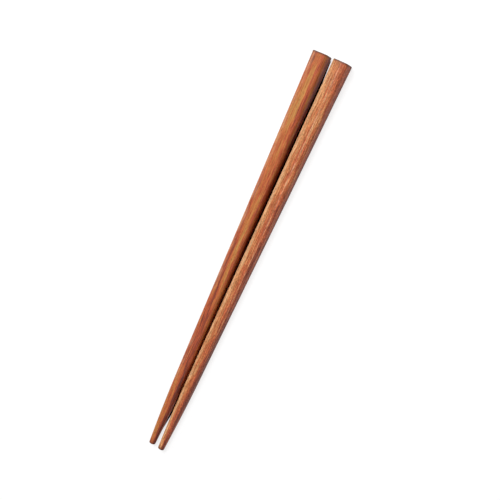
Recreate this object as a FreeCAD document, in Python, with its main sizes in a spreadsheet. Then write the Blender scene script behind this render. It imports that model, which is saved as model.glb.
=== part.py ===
# A pair of wooden chopsticks lying side by side on a table, heads towards +X, tips towards -X.
#
# Each stick is one piece of hardwood. A square blank as wide as the head is planed on its four
# sides: the taper runs straight from the head to a shoulder and then curves in to the tip. One
# cutter rounds the four long corners with the same radius all the way along, so the section is a
# rounded square at the head and very nearly a circle at the tip. Both ends are eased last.
#
# Each stick lies on its own lower flat. Its axis therefore leans by the half angle of the taper,
# and its tip stands a little clear of the table. The two sticks draw together from their heads to
# their shoulders. The origin is on the table, under the middle of the pair.
import FreeCAD, Part
import os
import Sketcher
from FreeCAD import Vector

PARTS_FOLDER = "parts"

# Each driving size: its name, its value in millimetres and what it measures.
DRIVING_SIZES = [
    ("overall_length", 225.0, "tip end to head end"),
    ("tip_length", 46.0, "tip end to shoulder"),
    ("head_width", 8.6, "across the flats at the head end"),
    ("shoulder_width", 5.75, "across the flats at the shoulder"),
    ("tip_width", 3.4, "across the flats at the tip end"),
    ("tip_flat", 0.1, "width left of each flat at the tip end"),
    ("head_easing", 0.5, "radius round the head end"),
    ("tip_easing", 0.4, "radius round the tip end"),
    ("head_gap", 3.5, "clear space between the sticks at their heads"),
    ("shoulder_gap", 1.5, "clear space between the sticks at their shoulders"),
]

# Each size that follows from the driving ones: its name, its formula and what it measures.
DERIVED_SIZES = [
    ("body_length", "=overall_length - tip_length", "shoulder to head end"),
    ("corner_radius", "=(tip_width - tip_flat) / 2", "radius of the long corners"),
    ("lean_angle", "=atan((head_width - shoulder_width) / 2 / body_length)", "axis to the table"),
    ("head_offset", "=(head_width + head_gap) / 2", "head's centre to the middle of the pair"),
    ("shoulder_offset", "=(shoulder_width + shoulder_gap) / 2", "shoulder's centre to the same"),
    ("toe_angle", "=asin((head_offset - shoulder_offset) / (body_length * cos(lean_angle)))",
     "axis to the middle of the pair"),
    ("tip_offset", "=shoulder_offset - tip_length * cos(lean_angle) * sin(toe_angle)",
     "tip's centre to the middle of the pair"),
    ("tip_height", "=shoulder_width / 2 * cos(lean_angle) - tip_length * sin(lean_angle)",
     "tip's centre above the table"),
    ("tip_reach", "=overall_length / 2 * cos(lean_angle) * cos(toe_angle)",
     "tip's centre to mid-length"),
]

# Each stick's name and the side of the pair that it lies on: +Y or -Y.
STICKS = [("chopstick_left", 1), ("chopstick_right", -1)]


def make_sizes(doc):
    """The spreadsheet: each row holds what a size measures, then the size under its name."""
    sizes = doc.addObject("Spreadsheet::Sheet", "sizes")
    for row, (name, value, meaning) in enumerate(DRIVING_SIZES + DERIVED_SIZES, start=1):
        sizes.set(f"A{row}", meaning)
        sizes.set(f"B{row}", str(value))
        sizes.setAlias(f"B{row}", name)
    doc.recompute()
    return sizes


def origin_feature(body, role):
    """The plane or axis of the body's own origin that has this role."""
    return next(feature for feature in body.Origin.OriginFeatures if feature.Role == role)


def add_sketch(body, name, plane):
    """An empty sketch on one of the body's own origin planes."""
    sketch = body.newObject("Sketcher::SketchObject", f"{body.Name}_{name}")
    sketch.AttachmentSupport = [(origin_feature(body, plane), "")]
    sketch.MapMode = "FlatFace"
    sketch.Visibility = False
    return sketch


def join_ends(sketch, first, first_end, second, second_end, kind="Coincident"):
    """Join an end of one curve to an end of another, smoothly where the kind is Tangent."""
    sketch.addConstraint(Sketcher.Constraint(kind, first, first_end, second, second_end))


def dimension(sketch, name, kind, curve, end, expression):
    """Place a curve's end by its distance from the sketch's origin, driven by the sizes."""
    point = sketch.getPoint(curve, end)
    value = point.x if kind == "DistanceX" else point.y
    index = sketch.addConstraint(Sketcher.Constraint(kind, -1, 1, curve, end, value))
    sketch.renameConstraint(index, name)
    sketch.setExpression(f"Constraints.{name}", expression)


def end_at(sketch, curve, point):
    """Which end of a curve, 1 or 2, lies at a point."""
    return min((1, 2), key=lambda end: sketch.getPoint(curve, end).distanceToPoint(point))


def saw_blank(doc, sizes, body):
    """A square bar along X from the tip end to the head end, as wide as the head."""
    half = sizes.head_width / 2
    corners = [Vector(-half, -half), Vector(half, -half), Vector(half, half), Vector(-half, half)]
    section = add_sketch(body, "blank_section", "YZ_Plane")
    for corner, following in zip(corners, corners[1:] + corners[:1]):
        section.addGeometry(Part.LineSegment(corner, following))
    for side in range(4):
        join_ends(section, side, 2, (side + 1) % 4, 1)
        section.addConstraint(Sketcher.Constraint("Vertical" if side % 2 else "Horizontal", side))
    dimension(section, "left", "DistanceX", 0, 1, "-sizes.head_width / 2")
    dimension(section, "right", "DistanceX", 0, 2, "sizes.head_width / 2")
    dimension(section, "bottom", "DistanceY", 0, 1, "-sizes.head_width / 2")
    dimension(section, "top", "DistanceY", 2, 1, "sizes.head_width / 2")

    blank = body.newObject("PartDesign::Pad", f"{body.Name}_blank")
    blank.Profile = section
    blank.setExpression("Length", "sizes.overall_length")
    doc.recompute()


def plane_sides(doc, sizes, body):
    """Plane the upper side to the taper and the tip curve, then the other three the same."""
    tip, shoulder, head = sizes.tip_width / 2, sizes.shoulder_width / 2, sizes.head_width / 2
    slope = (head - shoulder) / sizes.body_length
    # Only a first guess: the tangent constraint sets how far the tip curve swells in the end.
    bulge = (shoulder - tip - slope * sizes.tip_length) / 4
    tip_point = Vector(0, tip)
    middle_point = Vector(sizes.tip_length / 2, (tip + shoulder) / 2 + bulge)
    shoulder_point = Vector(sizes.tip_length, shoulder)
    head_point = Vector(sizes.overall_length, head)
    head_top = Vector(sizes.overall_length, 2 * head)
    tip_top = Vector(0, 2 * head)

    waste = add_sketch(body, "planed_waste", "XZ_Plane")
    curve = waste.addGeometry(Part.Arc(tip_point, middle_point, shoulder_point))
    taper = waste.addGeometry(Part.LineSegment(shoulder_point, head_point))
    head_side = waste.addGeometry(Part.LineSegment(head_point, head_top))
    top_side = waste.addGeometry(Part.LineSegment(head_top, tip_top))
    tip_side = waste.addGeometry(Part.LineSegment(tip_top, tip_point))
    curve_tip = end_at(waste, curve, tip_point)
    curve_shoulder = end_at(waste, curve, shoulder_point)

    join_ends(waste, curve, curve_shoulder, taper, 1, "Tangent")
    join_ends(waste, taper, 2, head_side, 1)
    join_ends(waste, head_side, 2, top_side, 1)
    join_ends(waste, top_side, 2, tip_side, 1)
    join_ends(waste, tip_side, 2, curve, curve_tip)
    waste.addConstraint(Sketcher.Constraint("Vertical", head_side))
    waste.addConstraint(Sketcher.Constraint("Horizontal", top_side))
    waste.addConstraint(Sketcher.Constraint("Vertical", tip_side))
    waste.addConstraint(Sketcher.Constraint("PointOnObject", tip_side, 1, -2))
    dimension(waste, "tip_half", "DistanceY", tip_side, 2, "sizes.tip_width / 2")
    dimension(waste, "shoulder_along", "DistanceX", taper, 1, "sizes.tip_length")
    dimension(waste, "shoulder_half", "DistanceY", taper, 1, "sizes.shoulder_width / 2")
    dimension(waste, "head_along", "DistanceX", taper, 2, "sizes.overall_length")
    dimension(waste, "head_half", "DistanceY", taper, 2, "sizes.head_width / 2")
    dimension(waste, "above", "DistanceY", head_side, 2, "sizes.head_width")

    before = body.Shape.Volume
    cut = body.newObject("PartDesign::Pocket", f"{body.Name}_planed_side")
    cut.Profile = waste
    cut.Midplane = True
    cut.setExpression("Length", "2 * sizes.head_width")
    doc.recompute()
    one_side = before - body.Shape.Volume
    if one_side <= 0:
        raise RuntimeError(f"{body.Name}: planing took nothing off the blank")

    sides = body.newObject("PartDesign::PolarPattern", f"{body.Name}_planed_sides")
    sides.Originals = [cut]
    sides.Axis = (origin_feature(body, "X_Axis"), [""])
    sides.Angle = 360
    sides.Occurrences = 4
    body.Tip = sides
    doc.recompute()
    if before - body.Shape.Volume <= 2 * one_side:
        raise RuntimeError(f"{body.Name}: not all four sides were planed")


def round_edges(doc, body, name, chosen, expression):
    """Round the edges of the body that a test picks, with a radius from the sizes."""
    base = body.Tip
    edges = [f"Edge{number}" for number, edge in enumerate(base.Shape.Edges, start=1) if chosen(edge)]
    before = body.Shape.Volume
    fillet = body.newObject("PartDesign::Fillet", f"{body.Name}_{name}")
    fillet.Base = (base, edges)
    fillet.setExpression("Radius", expression)
    doc.recompute()
    if fillet.Shape.Volume >= before:
        raise RuntimeError(f"{body.Name}: {name} rounded nothing")


def make_stick(doc, sizes, name, side):
    """One chopstick, made along its own X axis and then laid down on its side of the pair."""
    stick = doc.addObject("PartDesign::Body", name)
    stick.Label = name
    saw_blank(doc, sizes, stick)
    plane_sides(doc, sizes, stick)

    length, tolerance = sizes.overall_length, 1e-6
    round_edges(doc, stick, "long_corners", lambda edge: edge.BoundBox.XLength > tolerance,
                "sizes.corner_radius")
    round_edges(doc, stick, "head_end", lambda edge: edge.BoundBox.XMin > length - tolerance,
                "sizes.head_easing")
    round_edges(doc, stick, "tip_end", lambda edge: edge.BoundBox.XMax < tolerance,
                "sizes.tip_easing")

    stick.setExpression("Placement.Base.x", "-sizes.tip_reach")
    stick.setExpression("Placement.Base.y", f"{side} * sizes.tip_offset")
    stick.setExpression("Placement.Base.z", "sizes.tip_height")
    stick.setExpression("Placement.Rotation", f"rotation({side} * sizes.toe_angle; -sizes.lean_angle; 0)")
    doc.recompute()
    return stick


def check_model(doc, sticks):
    """Stop before anything is written if a feature failed or a stick isn't one sound solid."""
    for feature in doc.Objects:
        if {"Invalid", "Error"} & set(feature.State):
            raise RuntimeError(f"{feature.Name} failed: {feature.State}")
    for stick in sticks:
        shape = stick.Shape
        if shape.isNull() or not shape.isValid() or len(shape.Solids) != 1:
            raise RuntimeError(f"{stick.Label} isn't one valid solid")


def main():
    doc = FreeCAD.newDocument("chopsticks")
    sizes = make_sizes(doc)
    sticks = [make_stick(doc, sizes, name, side) for name, side in STICKS]
    check_model(doc, sticks)

    os.makedirs(PARTS_FOLDER, exist_ok=True)
    for stick in sticks:
        stick.Shape.exportStep(os.path.join(PARTS_FOLDER, f"{stick.Label}.step"))
        box = stick.Shape.BoundBox
        print(f"{stick.Label}: {stick.Shape.Volume / 1000:.3f} cm3,"
              f" {box.XLength:.2f} x {box.YLength:.2f} x {box.ZLength:.2f} mm,"
              f" lowest {box.ZMin:.4f} mm, from x {box.XMin:.3f} to {box.XMax:.3f} mm")
    closest = sticks[0].Shape.distToShape(sticks[1].Shape)[0]
    print(f"clear space between the sticks: {closest:.3f} mm")


main()
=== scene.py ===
# %% [markdown]
# # A pair of wooden chopsticks
#
# This lesson dresses a model of two chopsticks that lie side by side on a white table. The model
# comes first and fixes every size and place. What is left to do in Blender is the part that makes
# wood look like wood: faces that a hand has sanded, bands and streaks that run from end to end,
# pores, end grain, and a thin clear coat.
#
# The two sticks are alike in shape and differ only in their wood, so one function shapes both and
# one recipe paints both.

# %% Load the fixed model
import bpy
import numpy as np
from mathutils import Matrix


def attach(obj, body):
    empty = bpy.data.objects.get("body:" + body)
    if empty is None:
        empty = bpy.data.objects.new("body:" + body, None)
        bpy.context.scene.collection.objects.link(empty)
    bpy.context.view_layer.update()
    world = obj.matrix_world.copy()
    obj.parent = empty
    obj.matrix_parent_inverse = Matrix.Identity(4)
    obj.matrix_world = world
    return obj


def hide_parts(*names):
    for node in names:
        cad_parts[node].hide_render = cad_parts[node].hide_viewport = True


MM = 0.001

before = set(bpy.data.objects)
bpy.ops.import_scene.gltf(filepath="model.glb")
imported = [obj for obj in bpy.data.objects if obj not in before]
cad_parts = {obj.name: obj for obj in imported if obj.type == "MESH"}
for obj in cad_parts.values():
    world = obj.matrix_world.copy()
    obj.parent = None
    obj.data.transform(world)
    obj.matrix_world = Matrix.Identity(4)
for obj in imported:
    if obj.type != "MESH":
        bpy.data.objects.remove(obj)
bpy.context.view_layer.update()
print("nodes:", sorted(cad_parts))

# %% [markdown]
# ## The sizes of one stick
#
# A stick starts as a square blank as wide as its head. Its four sides are planed straight from the
# head to a shoulder, and from there they curve in to the tip. One cutter then rounds the four long
# corners by the same radius all the way. Near the head that leaves a square with soft corners, and
# at the tip it leaves almost a circle.
#
# We could measure all this on the model's mesh, but few numbers make the whole shape, and a formula
# gives a cleaner surface than a measured one. So we repeat the model's driving sizes, in metres,
# and let formulas work out how the stick lies: it leans until its lower flat rests on the table,
# and it toes in towards its neighbour.

# %% Driving sizes and what follows from them
LENGTH = 0.225
TIP_LENGTH = 0.046
HEAD_WIDTH = 0.0086
SHOULDER_WIDTH = 0.00575
TIP_WIDTH = 0.0034
TIP_FLAT = 0.0001
HEAD_EASING = 0.0005
TIP_EASING = 0.0004
HEAD_GAP = 0.0035
SHOULDER_GAP = 0.0015

CORNER_RADIUS = (TIP_WIDTH - TIP_FLAT) / 2
BODY_LENGTH = LENGTH - TIP_LENGTH
SLOPE = (HEAD_WIDTH - SHOULDER_WIDTH) / 2 / BODY_LENGTH
LEAN = np.arctan(SLOPE)
HEAD_OFFSET = (HEAD_WIDTH + HEAD_GAP) / 2
SHOULDER_OFFSET = (SHOULDER_WIDTH + SHOULDER_GAP) / 2
TOE = np.arcsin((HEAD_OFFSET - SHOULDER_OFFSET) / (BODY_LENGTH * np.cos(LEAN)))
TIP_OFFSET = SHOULDER_OFFSET - TIP_LENGTH * np.cos(LEAN) * np.sin(TOE)
TIP_HEIGHT = SHOULDER_WIDTH / 2 * np.cos(LEAN) - TIP_LENGTH * np.sin(LEAN)
TIP_REACH = LENGTH / 2 * np.cos(LEAN) * np.cos(TOE)
print(f"each stick leans {np.degrees(LEAN):.2f} and toes in {np.degrees(TOE):.2f} degrees")

# %% [markdown]
# ## The width along the stick
#
# Seen from the side, a stick has two kinds of outline: a straight taper, and an arc that runs into
# it without a corner. A Bezier curve could be pulled to look like that, but a true arc is what the
# maker's jig cuts, and it needs no pulling. An arc that meets a line smoothly has its centre on the
# line's normal at the meeting point, and the tip's own half width then settles the radius.


# %% Half the width at any place along the stick
def half_width(along):
    """Half the width across the flats at a distance from the tip end.

    From the shoulder to the head it is a straight line. From the tip to the shoulder it is an arc.
    The arc's radius is half the chord's length squared, divided by the chord's reach along the
    normal of the line, and the height at any place follows from the circle's equation.
    """
    inward = np.array([SLOPE, -1.0]) / np.hypot(SLOPE, 1.0)
    shoulder = np.array([TIP_LENGTH, SHOULDER_WIDTH / 2])
    chord = np.array([0.0, TIP_WIDTH / 2]) - shoulder
    radius = chord @ chord / (2 * (chord @ inward))
    centre = shoulder + radius * inward
    reach = np.minimum(along, TIP_LENGTH) - centre[0]
    on_arc = centre[1] + np.sqrt(radius**2 - reach**2)
    on_line = SHOULDER_WIDTH / 2 + SLOPE * (along - TIP_LENGTH)
    return np.where(along < TIP_LENGTH, on_arc, on_line)


for spot in (0.0, TIP_LENGTH / 2, TIP_LENGTH, LENGTH):
    print(f"{2 * float(half_width(spot)) / MM:.3f} mm wide at {spot / MM:.0f} mm from the tip")

# %% [markdown]
# ## The section: a rounded square
#
# Once round a stick, the skin is four flats joined by four quarter circles. We want a point on it
# for any share of the way round, in equal steps of length, because even steps give even faces. So
# we cut the outline into four like quarters, each a flat and then an arc, find the point in one
# quarter and turn it by right angles into the others.

# %% A point on the rounded square, and the way out from it
AROUND = 160


def rounded_square(half, radius, turn):
    """Points y and z on a rounded square and the outward normal there, at a share of the way round.

    A quarter is a flat of length 2 (half - radius) and then an arc of length radius pi / 2. The
    share picks a quarter and a length into it. On the flat the point slides straight, and on the
    arc it swings about the corner's centre. The first quarter is the lower flat.
    """
    flat = 2 * (half - radius)
    quarter = np.floor(4 * turn)
    into = (4 * turn - quarter) * (flat + radius * np.pi / 2)
    swing = np.maximum(into - flat, 0) / radius
    across = np.minimum(into, flat) - flat / 2 + radius * np.sin(swing)
    out = flat / 2 + radius * np.cos(swing)
    angle = quarter * np.pi / 2
    y = across * np.cos(angle) + out * np.sin(angle)
    z = across * np.sin(angle) - out * np.cos(angle)
    normal_angle = angle - np.pi / 2 + swing
    return y, z, np.cos(normal_angle), np.sin(normal_angle)


head_y, head_z, _, _ = rounded_square(HEAD_WIDTH / 2, CORNER_RADIUS, np.arange(AROUND) / AROUND)
print(f"the head's section is {2 * head_y.max() / MM:.2f} mm by {2 * head_z.max() / MM:.2f} mm")

# %% [markdown]
# ## The stations
#
# The skin is a profile carried along a path, and the path here is the stick's own axis. A station
# is one place where the profile is laid. Along the body the stations are evenly spaced. At each end
# they bunch up to turn the edge, where the place and the inset of the profile follow a quarter
# circle. Last come a few stations on the flat end itself, where the profile shrinks to a point.
#
# A Bevel modifier could turn those edges too, but it would also try to bevel the long corners.

# %% Places, insets and shrinking of the stations
BODY_STATIONS = 440
EASING_STATIONS = 6
FACE_STATIONS = 5


def end_stations(easing):
    """Distance from the end, inset and shrinking for one end, from its middle outwards.

    On the flat end the distance is 0, the inset is the whole easing and the shrinking grows
    evenly to 1. On the edge the distance is easing (1 - cos a) and the inset is
    easing (1 - sin a), for an angle a from 0 to a right angle.
    """
    grow = np.linspace(0, 1, FACE_STATIONS + 1)[1:]
    angle = np.linspace(0, np.pi / 2, EASING_STATIONS + 1)[1:]
    distance = np.concatenate([np.zeros_like(grow), easing * (1 - np.cos(angle))])
    inset = np.concatenate([np.full_like(grow, easing), easing * (1 - np.sin(angle))])
    shrink = np.concatenate([grow, np.ones_like(angle)])
    return distance, inset, shrink


def stations():
    """Place along the stick, inset and shrinking of every station, from the tip to the head."""
    tip_distance, tip_inset, tip_shrink = end_stations(TIP_EASING)
    head_distance, head_inset, head_shrink = end_stations(HEAD_EASING)
    body = np.linspace(TIP_EASING, LENGTH - HEAD_EASING, BODY_STATIONS + 2)[1:-1]
    along = np.concatenate([tip_distance, body, LENGTH - head_distance[::-1]])
    inset = np.concatenate([tip_inset, np.zeros_like(body), head_inset[::-1]])
    shrink = np.concatenate([tip_shrink, np.ones_like(body), head_shrink[::-1]])
    return along[:, None], inset[:, None], shrink[:, None]


print(len(stations()[0]), "stations of", AROUND, "points each")

# %% [markdown]
# ## Hand sanding
#
# A machine leaves flats dead straight, and sandpaper doesn't. It takes a few hundredths of a
# millimetre more here than there, and light that slides along the stick shows it. A Displace
# modifier could do this, but its texture might also push the skin outwards. Wood only ever comes
# off, so we take it off ourselves: a few long waves along the stick and round it, with seeded
# phases, never deeper than a set depth and fading out at the ends.

# %% Depth of the wood that sanding took off
SANDING_DEPTH = 0.00004
SANDING_FADE = 0.004
SANDING_WAVES = 7
SHORTEST_WAVE = 0.012
LONGEST_WAVE = 0.06
MOST_ROUND = 3


def sanded_off(along, turn, seed):
    """Depth at each point: the mean of a few waves, each 0 to 1, times the depth and the fade.

    A wave is (1 + sin(2 pi (along / length + times round * turn + phase))) / 2. The fade is the
    distance to the nearer end over its own length, at most 1.
    """
    dice = np.random.default_rng(seed)
    total = np.zeros_like(along + turn)
    for _ in range(SANDING_WAVES):
        wave_length = dice.uniform(SHORTEST_WAVE, LONGEST_WAVE)
        times_round = dice.integers(0, MOST_ROUND + 1)
        phase = dice.uniform(0, 1)
        total += (1 + np.sin(2 * np.pi * (along / wave_length + times_round * turn + phase))) / 2
    fade = np.clip(np.minimum(along, LENGTH - along) / SANDING_FADE, 0, 1)
    return SANDING_DEPTH * fade * total / SANDING_WAVES


print(f"sanding takes off {SANDING_DEPTH / MM:.2f} mm at most, in {SANDING_WAVES} waves")

# %% [markdown]
# ## Laying a stick down
#
# All the shaping happens in the blank's own frame, where x runs from the tip to the head along the
# axis. Only then is the stick laid on the table. We move the points themselves and leave the object
# at the origin, unturned, so that patterns which read Object coordinates stay put on export.


# %% From the blank's frame to the table
def lay_down(points, side):
    """Lean the points about Y, toe them in about Z, then move the tip's centre to its place."""
    x, y, z = points[..., 0], points[..., 1], points[..., 2]
    x, z = x * np.cos(LEAN) - z * np.sin(LEAN), x * np.sin(LEAN) + z * np.cos(LEAN)
    toe = side * TOE
    x, y = x * np.cos(toe) - y * np.sin(toe), x * np.sin(toe) + y * np.cos(toe)
    return np.stack([x - TIP_REACH, y + side * TIP_OFFSET, z + TIP_HEIGHT], axis=-1)


print("centre of the left tip in mm:", np.round(lay_down(np.zeros(3), 1) / MM, 2).tolist())

# %% [markdown]
# ## The skin of one stick
#
# Every station meets every share of the way round, so the whole skin is one array operation on a
# grid. One pole closes each end. Neighbouring stations are joined by quads, and each pole by a fan
# of triangles, wound so that every face points outwards.


# %% Points and faces
def blank_points(seed):
    """Points of the closed skin in the blank's frame: the grid row by row, then the two poles."""
    along, inset, shrink = stations()
    turn = np.arange(AROUND)[None, :] / AROUND
    half = half_width(along) - inset
    y, z, out_y, out_z = rounded_square(half, CORNER_RADIUS - inset, turn)
    depth = sanded_off(along, turn, seed)
    y = (y - depth * out_y) * shrink
    z = (z - depth * out_z) * shrink
    grid = np.stack([along + 0 * turn, y, z], axis=-1).reshape(-1, 3)
    return np.concatenate([grid, [[0.0, 0.0, 0.0], [LENGTH, 0.0, 0.0]]])


def stick_faces(rows):
    """Quads between neighbouring stations, and a fan of triangles round each pole."""
    index = np.arange(rows * AROUND).reshape(rows, AROUND)
    beside = np.roll(index, -1, axis=1)
    quads = np.stack([index[:-1], beside[:-1], beside[1:], index[1:]], axis=-1)
    tip_pole = np.full(AROUND, rows * AROUND)
    head_pole = tip_pole + 1
    tip_fan = np.stack([tip_pole, beside[0], index[0]], axis=-1)
    head_fan = np.stack([head_pole, index[-1], beside[-1]], axis=-1)
    return quads.reshape(-1, 4).tolist() + tip_fan.tolist() + head_fan.tolist()


print(len(stick_faces(len(stations()[0]))), "faces on each stick")

# %% [markdown]
# ## Streaks that belong to one board
#
# The wood isn't one brown. Golden, red and dull violet-brown ribbons a millimetre or two wide run
# down it for several centimetres, and they fade in and out. Chance alone won't put them where this
# pair has them, so we place the few that the eye remembers. They lie in the blank and not
# on its skin, so each ribbon is a slanted sheet in the wood, and the skin shows it wherever the
# plane cut through. A sheet is named by the place where it meets the upper flat.
#
# Each vertex gets the sum as a number that the paint recipe reads: above 0 is more golden, below 0
# is redder and then darker. The pale ribbons, of which both sticks have some, make a number of
# their own, because they lighten the wood whatever its colour is. A few rows in both lists are
# painted light rather than wood: painted highlights along the lit corners, and painted shade and
# shadow low on the side faces.

# %% A ribbon in the wood
SHEET_SLOPE = 0.45
RIBBON_FADE = 4.0


def ribbon(along, across, start, end, start_centre, end_centre, width):
    """Strength of one ribbon: a bell across the grain, times a soft start and end along it.

    The bell is exp(-(distance / width) squared) about a centre that moves evenly from its place
    at the start to its place at the end. The soft ends are logistic curves, 1 / (1 + exp(-x)).
    All lengths are in millimetres.
    """
    centre = start_centre + (end_centre - start_centre) * (along - start) / (end - start)
    bell = np.exp(-(((across - centre) / width) ** 2))
    start_rise = 1 / (1 + np.exp(-(along - start) / RIBBON_FADE))
    end_fall = 1 / (1 + np.exp((along - end) / RIBBON_FADE))
    return bell * start_rise * end_fall


def sheet_place(points):
    """Where the sheet through a point meets the upper flat: y + (z - half width) slope."""
    return points[:, 1] + (points[:, 2] - half_width(points[:, 0])) * SHEET_SLOPE


for off_centre in (0.0, 0.5, 1.0):
    kept = ribbon(along=50.0, across=off_centre, start=0.0, end=100.0,
                  start_centre=0.0, end_centre=0.0, width=1.0)
    print(f"{off_centre} widths off its centre a ribbon keeps {kept:.2f} of its strength")

# %% [markdown]
# ## The two boards
#
# A stick's wood is described by the seed of its sanding and of its grain, how far the grain runs
# out of the axis, its ribbons, some of which are painted light, how strongly its brightness
# changes and the colours between which it wanders. The left stick is soft and blotchy in red and
# gold, so it has much mottle, which is broad, and little stipple and speckle, which are fine. The
# right one is paler and finely stippled, with a cream band along its left corner that a painted
# highlight brightens, and a thin pale line down its top.
#
# A ribbon's row gives its start and end from the tip, its centre at both, and its width, all in
# millimetres, and then its strength. A colour's row gives its place on the ramp and then its red,
# green and blue.

# %% What is particular to each stick
LEFT = {
    "name": "left_stick",
    "node": "chopstick_left",
    "side": 1,
    "seed": 11,
    "grain_drift": 0.004,
    "tone_ribbons_and_painted_shading": [
        (207, 232, 2.2, 2.0, 1.5, -0.14),
        (190, 224, -1.0, -0.6, 1.7, 0.20),
        (190, 206, -1.1, -1.1, 0.7, 0.12),
        (188, 208, 1.1, 1.1, 1.1, 0.20),
        (146, 166, 2.1, 2.2, 0.8, -0.19),
        (108, 148, 1.4, 1.8, 0.7, -0.19),
        (96, 146, -1.5, -1.2, 0.9, 0.16),
        (86, 112, 0.5, 0.8, 0.9, -0.09),
        (46, 86, 0.0, 0.0, 2.4, -0.14),
        (70, 86, -2.3, -2.1, 0.35, 0.16),
        (30, 46, 0.0, 0.2, 0.9, -0.08),
        (10, 26, -0.9, -0.8, 0.7, 0.18),
        (-8, 45, -1.7, -2.8, 0.9, -0.24),
        (-8, 232, -2.0, -3.3, 1.1, -0.10),
        # Next two rows: painted light on the inner side face, lit top and shaded foot.
        (60, 232, -3.9, -5.0, 0.7, 0.12),
        (60, 232, -5.1, -6.9, 0.9, -0.32),
    ],
    "pale_ribbons_and_painted_highlights": [
        # Painted highlight along the left corner, where the strip lamp's gloss falls.
        (92, 232, 2.2, 2.8, 1.0, 0.42),
        (44, 62, 1.4, 1.4, 1.0, 0.50),
    ],
    "stipple": 0.45,
    "speckle": 0.25,
    "mottle": 0.45,
    "colours": [
        (0.10, (0.150, 0.043, 0.034)),
        (0.30, (0.285, 0.064, 0.031)),
        (0.43, (0.470, 0.093, 0.040)),
        (0.54, (0.500, 0.138, 0.046)),
        (0.68, (0.510, 0.195, 0.054)),
        (0.86, (0.520, 0.258, 0.076)),
    ],
}
RIGHT = {
    "name": "right_stick",
    "node": "chopstick_right",
    "side": -1,
    "seed": 23,
    "grain_drift": 0.0095,
    "tone_ribbons_and_painted_shading": [
        (-5, 232, 0.9, 3.3, 1.05, 0.30),
        (190, 202, -2.4, -2.4, 1.1, 0.12),
        (148, 182, 1.5, 1.8, 1.2, 0.11),
        (120, 215, -2.4, -1.7, 0.7, 0.09),
        (193, 230, -4.2, -4.2, 0.8, -0.11),
        (108, 150, -2.8, -3.2, 0.8, -0.15),
        (20, 110, -3.0, -3.3, 1.6, -0.05),
        (-8, 45, -1.6, -2.8, 1.0, -0.14),
        (40, 160, -1.1, -1.7, 0.9, -0.05),
        (-8, 15, -0.1, -0.1, 1.6, -0.15),
        (-8, 232, -3.0, -5.6, 1.9, -0.12),
        # Painted shadow: dark foot of the outer side face, where it meets the table.
        (-8, 232, -3.6, -7.4, 0.5, -0.35),
    ],
    "pale_ribbons_and_painted_highlights": [
        (146, 221, -1.75, -0.95, 0.28, 1.0),
        (62, 146, -2.80, -1.75, 0.28, 0.5),
        # Cream band of the wood, brightened by a painted highlight from the strip lamp.
        (55, 205, 2.2, 3.3, 0.8, 0.40),
    ],
    "stipple": 1.50,
    "speckle": 0.90,
    "mottle": 0.15,
    "colours": [
        (0.10, (0.200, 0.060, 0.042)),
        (0.30, (0.360, 0.084, 0.042)),
        (0.42, (0.475, 0.112, 0.046)),
        (0.52, (0.500, 0.150, 0.056)),
        (0.66, (0.565, 0.240, 0.094)),
        (0.86, (0.680, 0.370, 0.185)),
    ],
}


def ribbon_sum(rows, points):
    """Sum of the ribbons in these rows at each point of the skin."""
    along, across = points[:, 0] / MM, sheet_place(points) / MM
    total = np.zeros(len(points))
    for start, end, start_centre, end_centre, width, strength in rows:
        total += strength * ribbon(along, across, start, end, start_centre, end_centre, width)
    return total


for board in (LEFT, RIGHT):
    print(board["name"], "has", len(board["tone_ribbons_and_painted_shading"]), "coloured ribbons and",
          len(board["pale_ribbons_and_painted_highlights"]), "pale ones")

# %% [markdown]
# ## End grain
#
# At both ends the saw went across the fibres. Such a face drinks the finish and turns dark, and the
# eased edge round it does the same. Some of the finish also crept a little way up the sides, about
# twice as far at the tip as at the head. We mark all this with one more number per vertex, 1 on the
# end and its edge and 0 on the long sides, so that the recipe can darken it.

# %% Where the end grain shows
DARK_EASINGS = 2 / 3
CLEAR_EASINGS = 2
TIP_CREEP = 0.0030
TIP_CREEP_SHARE = 0.75
HEAD_CREEP = 0.0014
HEAD_CREEP_SHARE = 0.6


def falling(distance, start, end):
    """1 up to the start and 0 beyond the end, in a straight line between them."""
    return np.clip((end - distance) / (end - start), 0, 1)


def end_grain(along):
    """The largest of four marks: at either end, the dark face and edge, and the crept finish."""
    from_head = LENGTH - along
    tip_edge = falling(along, DARK_EASINGS * TIP_EASING, CLEAR_EASINGS * TIP_EASING)
    head_edge = falling(from_head, DARK_EASINGS * HEAD_EASING, CLEAR_EASINGS * HEAD_EASING)
    crept_tip = TIP_CREEP_SHARE * falling(along, 0, TIP_CREEP)
    crept_head = HEAD_CREEP_SHARE * falling(from_head, 0, HEAD_CREEP)
    return np.max([tip_edge, head_edge, crept_tip, crept_head], axis=0)


for spot in (0.0, TIP_CREEP / 3, TIP_CREEP):
    print(f"{float(end_grain(spot)):.2f} of the end grain at {spot / MM:.0f} mm from the tip")

# %% [markdown]
# ## The two meshes
#
# Now the points, the faces and the three numbers per vertex go into a mesh. Blender takes such
# numbers as attributes, each under a name that a material can ask for. A texture image could carry
# them too, but it would need a UV map and could never be finer than its pixels.


# %% Make the mesh of a stick
def write_number(mesh, name, values):
    """Store one number per vertex under a name that a material can read."""
    mesh.attributes.new(name, "FLOAT", "POINT").data.foreach_set("value", values)


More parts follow.
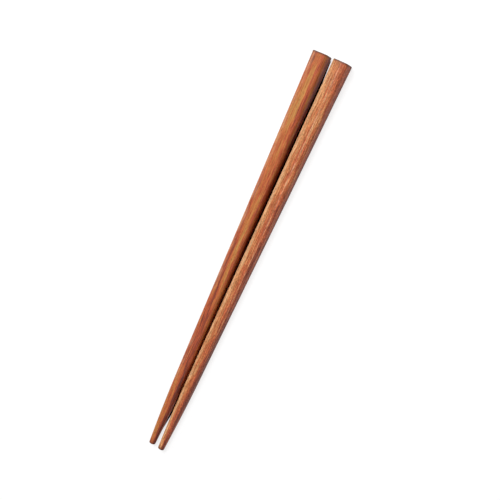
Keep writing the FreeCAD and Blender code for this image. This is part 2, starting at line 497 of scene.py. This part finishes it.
def make_stick(board):
    """A smooth, closed mesh object of one stick, with its three numbers per vertex."""
    points = blank_points(board["seed"])
    mesh = bpy.data.meshes.new(board["name"])
    mesh.from_pydata(lay_down(points, board["side"]).tolist(), [], stick_faces(len(stations()[0])))
    mesh.polygons.foreach_set("use_smooth", np.ones(len(mesh.polygons), dtype=bool))
    write_number(mesh, "tone", ribbon_sum(board["tone_ribbons_and_painted_shading"], points))
    write_number(mesh, "pale", ribbon_sum(board["pale_ribbons_and_painted_highlights"], points))
    write_number(mesh, "end_grain", end_grain(points[:, 0]))
    mesh.update()
    stick = bpy.data.objects.new(board["name"], mesh)
    bpy.context.scene.collection.objects.link(stick)
    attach(stick, "root")
    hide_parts(board["node"])
    return stick


sticks = [make_stick(board) for board in (LEFT, RIGHT)]
for stick in sticks:
    corners = np.array([list(vertex.co) for vertex in stick.data.vertices]) / MM
    triangles = sum(len(face.vertices) - 2 for face in stick.data.polygons)
    print(stick.name, triangles, "triangles from", np.round(corners.min(axis=0), 2).tolist(),
          "to", np.round(corners.max(axis=0), 2).tolist(), "mm")

# %% [markdown]
# ## A small helper for shader nodes
#
# A paint recipe is a row of nodes, each fed by the ones before it. With a helper that adds a node,
# sets its options and fills its inputs with values or links, a recipe reads from top to bottom.
# A material has a tree of nodes, and so has the world, so the helpers take either as the owner.


# %% Add a node and wire it
def add_node(owner, kind, inputs, **options):
    """Add a shader node, set its options, and feed each input a value or another node's output."""
    node = owner.node_tree.nodes.new(kind)
    for name, value in options.items():
        setattr(node, name, value)
    for name, value in inputs.items():
        if isinstance(value, bpy.types.NodeSocket):
            owner.node_tree.links.new(value, node.inputs[name])
        else:
            node.inputs[name].default_value = value
    return node


def math_node(owner, operation, first, second, clamp=False):
    """Result of one sum on two values or links."""
    node = add_node(owner, "ShaderNodeMath", {0: first, 1: second}, operation=operation)
    node.use_clamp = clamp
    return node.outputs[0]


def mix_colour(owner, share, first, second, blend="MIX"):
    """Blend two colours by a share. They are inputs 6 and 7 of a Mix node, and output 2 the blend."""
    return add_node(owner, "ShaderNodeMix", {0: share, 6: first, 7: second}, data_type="RGBA",
                    blend_type=blend).outputs[2]


def map_range(owner, value, limits=(0.0, 1.0), results=(0.0, 1.0), kind="LINEAR"):
    """The first result up to the lower limit, the second beyond the upper one, a blend between."""
    inputs = {0: value, 1: limits[0], 2: limits[1], 3: results[0], 4: results[1]}
    return add_node(owner, "ShaderNodeMapRange", inputs, interpolation_type=kind).outputs[0]


def grey_colour(owner, value):
    """A grey as bright as one value."""
    return add_node(owner, "ShaderNodeCombineXYZ", {0: value, 1: value, 2: value}).outputs[0]


def attribute(owner, name):
    """The number that each vertex carries under this name."""
    return add_node(owner, "ShaderNodeAttribute", {}, attribute_name=name).outputs["Fac"]


# %% [markdown]
# ## Adding noises up
#
# Both the colour and the brightness of the wood are a plain value plus several noises. Blender's
# noise lies between 0 and 1, so we first move it to lie about 0. Then it takes away as often as it
# adds, and a change of its strength leaves the average where it was.

# %% A noise about 0, and a sum of them
NOISE_MIDDLE = 0.5


def wiggle(owner, noise, strength):
    """A noise less its middle, times its strength."""
    about_zero = math_node(owner, "SUBTRACT", noise, NOISE_MIDDLE)
    return math_node(owner, "MULTIPLY", about_zero, strength)


def add_wiggles(owner, start, noises):
    """The start plus every noise's wiggle, for pairs of a noise and its strength."""
    total = start
    for noise, strength in noises:
        total = math_node(owner, "ADD", total, wiggle(owner, noise, strength))
    return total


# %% [markdown]
# ## The frame of the grain
#
# Grain belongs to the board, not to the table. A Mapping node of the Texture type undoes a place
# and a turn, so we give it the very place and turn that laid the stick down, and get back the
# blank's own coordinates. The grain's small run-out is simply a little more turn.
#
# Each layer of figure is then a noise whose cells are long along x and narrow across it. A layer is
# named by the length and the width of its cells, which is how one would describe it in words. Its
# shift picks another part of the endless noise, so that no two layers are alike.


# %% Coordinates of the blank, and noise stretched along it
def grain_frame(material, board):
    """Object coordinates turned back into the blank's frame, turned on by the grain's run-out."""
    side = board["side"]
    place = add_node(material, "ShaderNodeTexCoord", {}).outputs["Object"]
    turn = (0.0, -LEAN, side * TOE + np.arctan(board["grain_drift"]))
    where = (-TIP_REACH, side * TIP_OFFSET, TIP_HEIGHT)
    return add_node(material, "ShaderNodeMapping",
                    {"Vector": place, "Location": where, "Rotation": turn},
                    vector_type="TEXTURE").outputs[0]


def stretched(material, place, length, width, shift):
    """Coordinates in which a cell this long and this wide, in millimetres, measures 1 by 1."""
    scale = (1 / (length * MM), 1 / (width * MM), 1 / (width * MM))
    return add_node(material, "ShaderNodeMapping",
                    {"Vector": place, "Location": (shift, shift, shift), "Scale": scale}).outputs[0]


def layer(material, place, length, width, shift, detail=2.0):
    """Noise from 0 to 1 whose cells are this long and this wide, in millimetres."""
    cells = stretched(material, place, length, width, shift)
    return add_node(material, "ShaderNodeTexNoise",
                    {"Vector": cells, "Scale": 1.0, "Detail": detail}).outputs[0]


for board in (LEFT, RIGHT):
    print(f"{board['name']}: the grain runs out by {board['grain_drift'] * LENGTH / MM:.1f} mm")

# %% [markdown]
# ## The colour of the wood
#
# The colour wanders along a ramp that runs from violet-brown through red and orange to gold. What
# moves it is a sum: the listed ribbons, wide bands left by the seasons, narrower streaks,
# and fine hairlines. The pale ribbons are mixed in next, broken up by a noise of their own. Four
# more layers then only lighten or darken the result, from broad mottle and fine stipple to speckle
# and single fibres. A photograph of wood could be wrapped round instead, but it would tile, and it
# wouldn't follow the cut at the corners and the ends as these solid layers do.
# Some ribbons are painted light, not wood: highlights on lit corners, shade low on the sides.

# %% Strengths of the layers, and the ramp
SWAY = 2.4 * MM
PLAIN_LEVEL = 0.52
BAND_STRENGTH = 0.60
STREAK_STRENGTH = 0.80
HAIR_STRENGTH = 0.55
FIBRE_STRENGTH = 0.50
# The pale wood's colour, also that of the painted highlights on the corners.
PALE_WOOD_AND_HIGHLIGHT = (0.78, 0.46, 0.26, 1.0)
PALE_SHARE = 0.95
PALE_BREAK = 0.32
PALE_RISE = 3.2
print("bands, streaks and hairlines move the colour along the ramp by at most",
      BAND_STRENGTH / 2, STREAK_STRENGTH / 2, HAIR_STRENGTH / 2)


def colour_ramp(material, level, colours):
    """The colour at a level on a ramp through these places and colours."""
    ramp = add_node(material, "ShaderNodeValToRGB", {0: level})
    stops = ramp.color_ramp.elements
    stops[0].position = colours[0][0]
    stops[1].position = colours[-1][0]
    for position, _ in colours[1:-1]:
        stops.new(position)
    for stop, (_, colour) in zip(stops, colours):
        stop.color = (*colour, 1.0)
    return ramp.outputs[0]


# %% Colour of one board
def wood_colour(material, board, place):
    """Colour of the wood, and the height of its fibres for the bump."""
    shift = float(board["seed"])
    wander = layer(material, place, length=60, width=9, shift=shift, detail=1.0)
    sway = wiggle(material, wander, SWAY)
    offset = add_node(material, "ShaderNodeCombineXYZ", {"Y": sway, "Z": sway}).outputs[0]
    swayed = add_node(material, "ShaderNodeVectorMath", {0: place, 1: offset}).outputs[0]

    bands = layer(material, swayed, length=70, width=2.4, shift=shift)
    streaks = layer(material, swayed, length=14, width=0.75, shift=shift + 5)
    hairs = layer(material, swayed, length=6, width=0.40, shift=shift + 7, detail=1.0)
    level = math_node(material, "ADD", attribute(material, "tone"), PLAIN_LEVEL)
    level = add_wiggles(material, level, ((bands, BAND_STRENGTH), (streaks, STREAK_STRENGTH),
                                          (hairs, HAIR_STRENGTH)))
    colour = colour_ramp(material, level, board["colours"])

    # A pale ribbon is missing where a coarse noise is under the break, and whole a little above it.
    patches = layer(material, place, length=6, width=3, shift=shift + 17)
    above = math_node(material, "SUBTRACT", patches, PALE_BREAK)
    whole = math_node(material, "MULTIPLY", above, PALE_RISE, clamp=True)
    pale = math_node(material, "MULTIPLY", attribute(material, "pale"), whole)
    pale = math_node(material, "MULTIPLY", pale, PALE_SHARE)
    colour = mix_colour(material, pale, colour, PALE_WOOD_AND_HIGHLIGHT)

    mottle = layer(material, swayed, length=8, width=1.2, shift=shift + 21)
    stipple = layer(material, swayed, length=6, width=0.44, shift=shift + 9)
    speckle = layer(material, place, length=1, width=0.50, shift=shift + 27, detail=0.0)
    fibres = layer(material, place, length=5, width=0.12, shift=shift + 13)
    light = add_wiggles(material, 1.0, ((mottle, board["mottle"]), (stipple, board["stipple"]),
                                        (speckle, board["speckle"]), (fibres, FIBRE_STRENGTH)))
    return mix_colour(material, 1.0, colour, grey_colour(material, light), "MULTIPLY"), fibres


# %% [markdown]
# ## Pores
#
# A hardwood's pores are fine tubes along the grain. Where the skin cuts one, it leaves a short dark
# scratch. Voronoi cells stretched along the grain give one such scratch each, around the cell's
# point. They darken the colour and dent the surface a little.

# %% Pores, from 0 in clear wood to 1 in a pore
PORE_CELL_LENGTH = 2.6
PORE_CELL_WIDTH = 0.34
PORE_CORE = 0.16
PORE_RIM = 0.30


def pores(material, place, shift):
    """1 nearer than the core to the point of a stretched Voronoi cell, and 0 beyond the rim."""
    cells = stretched(material, place, PORE_CELL_LENGTH, PORE_CELL_WIDTH, shift)
    points = add_node(material, "ShaderNodeTexVoronoi", {"Vector": cells, "Scale": 1.0})
    return map_range(material, points.outputs["Distance"], (PORE_CORE, PORE_RIM), (1.0, 0.0))


print(f"a pore is at most {2 * PORE_RIM * PORE_CELL_LENGTH:.1f} mm long and",
      f"{2 * PORE_RIM * PORE_CELL_WIDTH:.1f} mm wide")

# %% [markdown]
# ## The finished wood
#
# Last come the end grain, the pores and the clear coat. The coat is thin and half glossy: it
# follows the pores, so it is smooth without being a mirror. Principled has a layer for just this,
# the Coat, and it lies over a dull base that hardly mirrors by itself.

# %% One material per stick
END_GRAIN_BROWN = (0.085, 0.028, 0.018, 1.0)
END_GRAIN_SHARE = 0.82
PORE_BROWN = (0.045, 0.015, 0.010, 1.0)
PORE_SHARE = 0.45
PORE_DEPTH_IN_FIBRES = 1.5
BUMP_STRENGTH = 0.5
BUMP_HEIGHT = 0.02 * MM
FINISH = {
    "Roughness": 0.5,
    "Specular IOR Level": 0.05,
    "Coat Weight": 0.15,
    "Coat Roughness": 0.2,
}


def make_wood(board):
    """The whole recipe for one stick's wood."""
    material = bpy.data.materials.new(f"{board['name']}_wood")
    material.use_nodes = True
    shader = material.node_tree.nodes["Principled BSDF"]
    place = grain_frame(material, board)
    colour, fibres = wood_colour(material, board, place)
    dents = pores(material, place, float(board["seed"]))

    ends = math_node(material, "MULTIPLY", attribute(material, "end_grain"), END_GRAIN_SHARE)
    colour = mix_colour(material, ends, colour, END_GRAIN_BROWN)
    darkened = math_node(material, "MULTIPLY", dents, PORE_SHARE)
    colour = mix_colour(material, darkened, colour, PORE_BROWN)

    depth = math_node(material, "MULTIPLY", dents, PORE_DEPTH_IN_FIBRES)
    height = math_node(material, "SUBTRACT", fibres, depth)
    bump = add_node(material, "ShaderNodeBump",
                    {"Height": height, "Strength": BUMP_STRENGTH, "Distance": BUMP_HEIGHT})
    material.node_tree.links.new(colour, shader.inputs["Base Color"])
    material.node_tree.links.new(bump.outputs[0], shader.inputs["Normal"])
    for name, value in FINISH.items():
        shader.inputs[name].default_value = value
    return material


for stick, board in zip(sticks, (LEFT, RIGHT)):
    stick.data.materials.append(make_wood(board))
    print(stick.name, "wears", stick.data.materials[0].name)

# %% [markdown]
# ## The table
#
# The sticks lie on a plain white table. A Light Path node tells which kind of ray has come. For the
# camera, and for rays that a mirror or glass sends on, the table is mostly its own light, so it
# comes out an even white, and the rest is a matt surface that still takes a faint, soft shadow. The
# glow grows with the distance, because the lamps hardly reach the far table. For every other ray it
# is white paint without any glow, so it throws the lamps' light back up at the sides of the sticks
# just as a white table does. A white background could be made by brighter lamps instead, but they
# would wash out the wood.
#
# A table that glows would also shine up between the sticks, where the real one lies in deep shade.
# So the slit between them is left out, and gets dark paint. It starts at a slanting line near the
# heads, where light gets in from beyond them, and ends at another one where the tips part.

# %% The slit between the sticks
SLIT_SIDE = (2.5 * MM, 3.5 * MM)
HEADS_SLANT = 16.0
HEADS_LINE = (78.5 * MM, 81.5 * MM)
HEADS_END = (110.5 * MM, 111.5 * MM)
TIPS_SLANT = 8.0
TIPS_LINE = (-90.5 * MM, -87 * MM)
TIPS_END = (-112 * MM, -111 * MM)


def step_up(material, value, limits):
    """0 below the lower limit and 1 above the upper one, with a smooth rise between them."""
    return map_range(material, value, limits, kind="SMOOTHSTEP")


def open_share(material):
    """0 in the slit between the sticks and 1 on the open table.

    A point is open if it lies beside the slit, or past the slanting line at the heads or past the
    one at the tips. The two ends cap the lines, which would otherwise run on beyond the sticks.
    """
    place = add_node(material, "ShaderNodeTexCoord", {}).outputs["Object"]
    x, y, _ = add_node(material, "ShaderNodeSeparateXYZ", {0: place}).outputs
    beside = step_up(material, math_node(material, "ABSOLUTE", y, 0.0), SLIT_SIDE)
    slanted = math_node(material, "SUBTRACT", x, math_node(material, "MULTIPLY", y, HEADS_SLANT))
    at_heads = math_node(material, "MAXIMUM", step_up(material, slanted, HEADS_LINE),
                         step_up(material, x, HEADS_END))
    slanted = math_node(material, "ADD", x, math_node(material, "MULTIPLY", y, TIPS_SLANT))
    in_slit = math_node(material, "MULTIPLY", step_up(material, slanted, TIPS_LINE),
                        step_up(material, x, TIPS_END))
    at_tips = math_node(material, "SUBTRACT", 1.0, in_slit)
    return math_node(material, "MAXIMUM", math_node(material, "MAXIMUM", beside, at_heads), at_tips)


print(f"the slit is {2 * SLIT_SIDE[0] / MM:.0f} to {2 * SLIT_SIDE[1] / MM:.0f} mm wide")

# %% The table's own light and paint
TABLE_SIDE = 6.0
NEAR_GLOW = 0.80
FAR_GLOW = 1.0
GLOW_RISE = (0.15, 0.70)
WHITE_PAINT = 0.80
SLIT_PAINT = 0.12
SEEN_PAINT = 0.25


def distance_out(material):
    """Distance from the middle of the table, in metres."""
    place = add_node(material, "ShaderNodeTexCoord", {}).outputs["Object"]
    return add_node(material, "ShaderNodeVectorMath", {0: place}, operation="LENGTH").outputs["Value"]


def seen_share(owner):
    """1 for a camera, glossy or transmission ray and 0 for any other, in a material or a world."""
    rays = add_node(owner, "ShaderNodeLightPath", {}).outputs
    mirrored = math_node(owner, "MAXIMUM", rays["Is Glossy Ray"], rays["Is Transmission Ray"])
    return math_node(owner, "MAXIMUM", rays["Is Camera Ray"], mirrored)


def make_table_top():
    """Matt paint plus the glow, each by the kind of ray and by the place on the table."""
    material = bpy.data.materials.new("pale_table")
    material.use_nodes = True
    nodes = material.node_tree.nodes
    unmasked = open_share(material)
    seen = seen_share(material)
    bounce_paint = map_range(material, unmasked, results=(SLIT_PAINT, WHITE_PAINT))
    seen_paint = math_node(material, "MULTIPLY", unmasked, SEEN_PAINT)
    paint = map_range(material, seen, results=(bounce_paint, seen_paint))
    matt = add_node(material, "ShaderNodeBsdfDiffuse", {"Color": grey_colour(material, paint)})
    far = step_up(material, distance_out(material), GLOW_RISE)
    full_glow = map_range(material, far, results=(NEAR_GLOW, FAR_GLOW))
    seen_glow = math_node(material, "MULTIPLY", seen, full_glow)
    strength = math_node(material, "MULTIPLY", seen_glow, unmasked)
    glow = add_node(material, "ShaderNodeEmission", {"Strength": strength})
    both = add_node(material, "ShaderNodeAddShader", {0: matt.outputs[0], 1: glow.outputs[0]})
    nodes.remove(nodes["Principled BSDF"])
    material.node_tree.links.new(both.outputs[0], nodes["Material Output"].inputs["Surface"])
    return material


bpy.ops.mesh.primitive_plane_add(size=TABLE_SIDE)
table = bpy.context.object
table.name = "table"
table.data.materials.append(make_table_top())
print("table:", TABLE_SIDE, "m square")

# %% [markdown]
# ## Light
#
# Three soft lamps, as in a small product studio. The key hangs high on the left and towards the
# heads, where its mirror image misses the flats, so the wood keeps its colour. A long strip lies
# low along the left side, and the rounded corners catch it as a thin bright line. A weak card on
# the right lifts the shaded sides. Together they light the table at about the level where a colour
# renders as it is written.
#
# The room is white only where it is seen or mirrored. As a lamp it is nearly dark, because light
# from all sides would flatten the rounded corners.

# %% Lamps and room
WORLD_STRENGTH = 0.06
LAMP_DISTANCE = 1.2
world = bpy.data.worlds.new("room")
bpy.context.scene.world = world
world.use_nodes = True
room = world.node_tree.nodes["Background"]
room.inputs["Color"].default_value = (1, 1, 1, 1)
room_strength = math_node(world, "MAXIMUM", seen_share(world), WORLD_STRENGTH)
world.node_tree.links.new(room_strength, room.inputs["Strength"])


def add_softbox(name, azimuth, elevation, width, height, power):
    """A rectangular lamp aimed at the origin. Azimuth 0 is +X and 90 is +Y, in degrees."""
    turn, rise = np.radians(azimuth), np.radians(elevation)
    towards = [np.cos(turn) * np.cos(rise), np.sin(turn) * np.cos(rise), np.sin(rise)]
    lamp = bpy.data.lights.new(name, "AREA")
    lamp.shape = "RECTANGLE"
    lamp.size = width
    lamp.size_y = height
    lamp.energy = power
    holder = bpy.data.objects.new(name, lamp)
    bpy.context.scene.collection.objects.link(holder)
    holder.location = np.array(towards) * LAMP_DISTANCE
    holder.rotation_euler = holder.location.to_track_quat("Z", "Y").to_euler()
    print(f"{name}: {power} W, {width} m by {height} m")


add_softbox("key", azimuth=28, elevation=62, width=0.6, height=0.6, power=12.2)
add_softbox("strip", azimuth=90, elevation=38, width=1.4, height=0.15, power=4.4)
add_softbox("card", azimuth=-90, elevation=35, width=1.2, height=0.4, power=3.0)

# %% [markdown]
# ## Camera
#
# The camera stands over the sticks at an arm's length, tipped a little towards the right stick and
# towards the heads, and rolled so that the pair runs from the upper right to the lower left. We
# build its three axes from those angles and write them into one matrix, because three turns in a
# row are easier to read as axes than as Euler angles.

# %% Camera
PICTURE_SIDE = 500
FOCAL_LENGTH_PIXELS = 916.7
SENSOR_WIDTH = 36.0
NEAREST_SEEN = 0.01
DISTANCE = 0.47905
AIM = np.array([0.006075, -0.000874, 0.0])
TIPPED_RIGHT = np.radians(21.94)
TIPPED_TO_HEADS = np.radians(9.75)
ROLL = np.radians(-24.675)

back = np.array([np.sin(TIPPED_TO_HEADS) * np.cos(TIPPED_RIGHT), -np.sin(TIPPED_RIGHT),
                 np.cos(TIPPED_TO_HEADS) * np.cos(TIPPED_RIGHT)])
level = np.cross([1.0, 0.0, 0.0], back)
level /= np.linalg.norm(level)
upright = np.cross(back, level)
pose = np.eye(4)
pose[:3, 0] = np.cos(ROLL) * level - np.sin(ROLL) * upright
pose[:3, 1] = np.sin(ROLL) * level + np.cos(ROLL) * upright
pose[:3, 2] = back
pose[:3, 3] = AIM + DISTANCE * back

camera = bpy.data.objects.new("camera", bpy.data.cameras.new("camera"))
bpy.context.scene.collection.objects.link(camera)
camera.data.sensor_width = SENSOR_WIDTH
camera.data.lens = FOCAL_LENGTH_PIXELS / PICTURE_SIDE * SENSOR_WIDTH
camera.data.clip_start = NEAREST_SEEN
camera.matrix_world = Matrix(pose.tolist())
bpy.context.scene.camera = camera
print(f"lens {camera.data.lens:.1f} mm at {DISTANCE / MM:.0f} mm")

# %% [markdown]
# ## Finish
#
# The Standard view shows a colour as it is written, without a film's curve over it. Sanding may
# only make a stick smaller.

# %% Finish
bpy.context.scene.view_settings.view_transform = "Standard"
